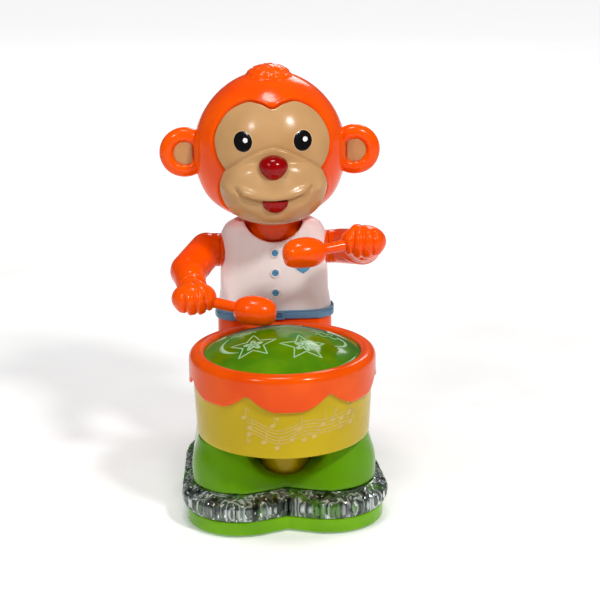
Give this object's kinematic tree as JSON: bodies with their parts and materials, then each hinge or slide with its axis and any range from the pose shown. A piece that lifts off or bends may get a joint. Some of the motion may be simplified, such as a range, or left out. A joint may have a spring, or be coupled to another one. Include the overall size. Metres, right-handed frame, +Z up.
{
  "type": "drumming monkey toy",
  "caption": "Battery toy monkey that beats a drum with two mallets, turning its head, on a rolling two-lobed base with a clear light ring.",
  "frame": {"origin": "centre of the toy's footprint, on the surface that its wheels stand on", "axes": "+Z up, -Y the way the monkey faces, +X to the viewer's right (the monkey's left)"},
  "size_m": [0.1132, 0.1376, 0.2215],
  "materials": {
    "orange_plastic": "injection-moulded, high gloss",
    "tan_plastic": "injection-moulded, gloss",
    "red_plastic": "injection-moulded, high gloss",
    "white_plastic": "pearl gloss",
    "blue_plastic": "painted gloss",
    "green_plastic": "injection-moulded, gloss",
    "yellow_plastic": "injection-moulded, satin gloss",
    "clear_plastic": "clear, prismatic inside",
    "green_lens": "tinted translucent, printed",
    "gear_plastic": "natural acetal",
    "black_plastic": "moulded",
    "steel": "plated",
    "tyre_rubber": "moulded rubber",
    "circuit": "solder mask",
    "cell_jacket": "printed jacket"
  },
  "bodies": {
    "root": {"base_tray": "green_plastic", "light_ring": "clear_plastic", "base_cover": "green_plastic", "case_screws": "steel", "base_lamp_board": "circuit", "drive_gearbox": "gear_plastic", "drive_motor": "steel", "switch_case": "black_plastic", "circuit_board": "circuit", "drum_shell": "yellow_plastic", "drum_rim": "orange_plastic", "drum_dome": "green_lens", "speaker": "black_plastic", "drum_lamp_board": "circuit", "trousers_front": "orange_plastic", "trousers_back": "orange_plastic", "belt": "blue_plastic", "belt_buckle": "blue_plastic", "battery_box": "black_plastic", "cells": "cell_jacket", "battery_contacts": "steel", "vest_front": "white_plastic", "vest_back": "white_plastic", "vest_buttons": "blue_plastic", "neck": "orange_plastic", "gear_frame": "gear_plastic", "arm_motor": "steel"},
    "turntable": {"turntable": "gear_plastic"},
    "rolling_axle": {"drive_axle": "steel", "drive_wheels": "tyre_rubber"},
    "front_right_roller": {"roller_front_right": "black_plastic"},
    "front_left_roller": {"roller_front_left": "black_plastic"},
    "back_roller": {"roller_back": "black_plastic"},
    "switch_knob": {"switch_knob": "black_plastic"},
    "battery_door": {"battery_door": "orange_plastic", "door_screw": "steel"},
    "motor_pinion": {"motor_pinion": "gear_plastic"},
    "reduction_gear": {"reduction_gear": "gear_plastic"},
    "cam_shaft": {"cam_shaft": "steel", "cam_gear": "gear_plastic", "right_cam": "gear_plastic", "left_cam": "gear_plastic"},
    "right_arm": {"right_arm_upper": "orange_plastic", "right_arm_lower": "orange_plastic", "right_mallet": "orange_plastic", "right_lever": "gear_plastic"},
    "left_arm": {"left_arm_upper": "orange_plastic", "left_arm_lower": "orange_plastic", "left_mallet": "orange_plastic", "left_lever": "gear_plastic"},
    "head": {"head_front": "orange_plastic", "head_back": "orange_plastic", "face_plate": "tan_plastic", "nose": "red_plastic", "tongue": "red_plastic", "ear_left": "orange_plastic", "ear_right": "orange_plastic", "ear_pads": "tan_plastic", "hair_tuft": "orange_plastic", "neck_post": "gear_plastic"}
  },
  "joints": [
    {"name": "turntable_swivel", "type": "hinge", "parent": "root", "child": "turntable", "pos_m": [0, -0.012, 0.01], "axis": [0, 0, 1], "continuous": true},
    {"name": "drive_spin", "type": "hinge", "parent": "turntable", "child": "rolling_axle", "pos_m": [0, -0.012, 0.009], "axis": [1, 0, 0], "continuous": true},
    {"name": "front_right_roller_spin", "type": "hinge", "parent": "root", "child": "front_right_roller", "pos_m": [-0.036, -0.022, 0.005], "axis": [1, 0, 0], "continuous": true},
    {"name": "front_left_roller_spin", "type": "hinge", "parent": "root", "child": "front_left_roller", "pos_m": [0.036, -0.022, 0.005], "axis": [1, 0, 0], "continuous": true},
    {"name": "back_roller_spin", "type": "hinge", "parent": "root", "child": "back_roller", "pos_m": [0, 0.05, 0.005], "axis": [1, 0, 0], "continuous": true},
    {"name": "switch_slide", "type": "slide", "parent": "root", "child": "switch_knob", "axis": [1, 0, 0], "range_m": [0, 0.004]},
    {"name": "battery_door_slide", "type": "slide", "parent": "root", "child": "battery_door", "axis": [0, 1, 0], "range_m": [0, 0.02]},
    {"name": "cam_turn", "type": "hinge", "parent": "root", "child": "cam_shaft", "pos_m": [0, 0.044, 0.117], "axis": [1, 0, 0], "range_deg": [0, 180]},
    {"name": "reduction_spin", "type": "hinge", "parent": "root", "child": "reduction_gear", "pos_m": [0, 0.0415, 0.10277], "axis": [1, 0, 0], "continuous": true},
    {"name": "pinion_spin", "type": "hinge", "parent": "root", "child": "motor_pinion", "pos_m": [0, 0.0336, 0.09656], "axis": [1, 0, 0], "continuous": true},
    {"name": "right_arm_swing", "type": "hinge", "parent": "root", "child": "right_arm", "pos_m": [-0.0289, 0.0365, 0.124], "axis": [-1, 0, 0], "range_deg": [0, 37]},
    {"name": "left_arm_swing", "type": "hinge", "parent": "root", "child": "left_arm", "pos_m": [0.0289, 0.0365, 0.124], "axis": [-1, 0, 0], "range_deg": [-37, 0]},
    {"name": "head_turn", "type": "hinge", "parent": "root", "child": "head", "pos_m": [0, 0.038, 0.1366], "axis": [0, 0, 1], "range_deg": [-15, 15]}
  ],
  "couplings": [
    {"joint": "reduction_spin", "follows": "cam_turn", "ratio": -3},
    {"joint": "pinion_spin", "follows": "cam_turn", "ratio": 9},
    {"joint": "right_arm_swing", "follows": "cam_turn", "ratio": 0.2055},
    {"joint": "left_arm_swing", "follows": "cam_turn", "ratio": -0.2055}
  ]
}
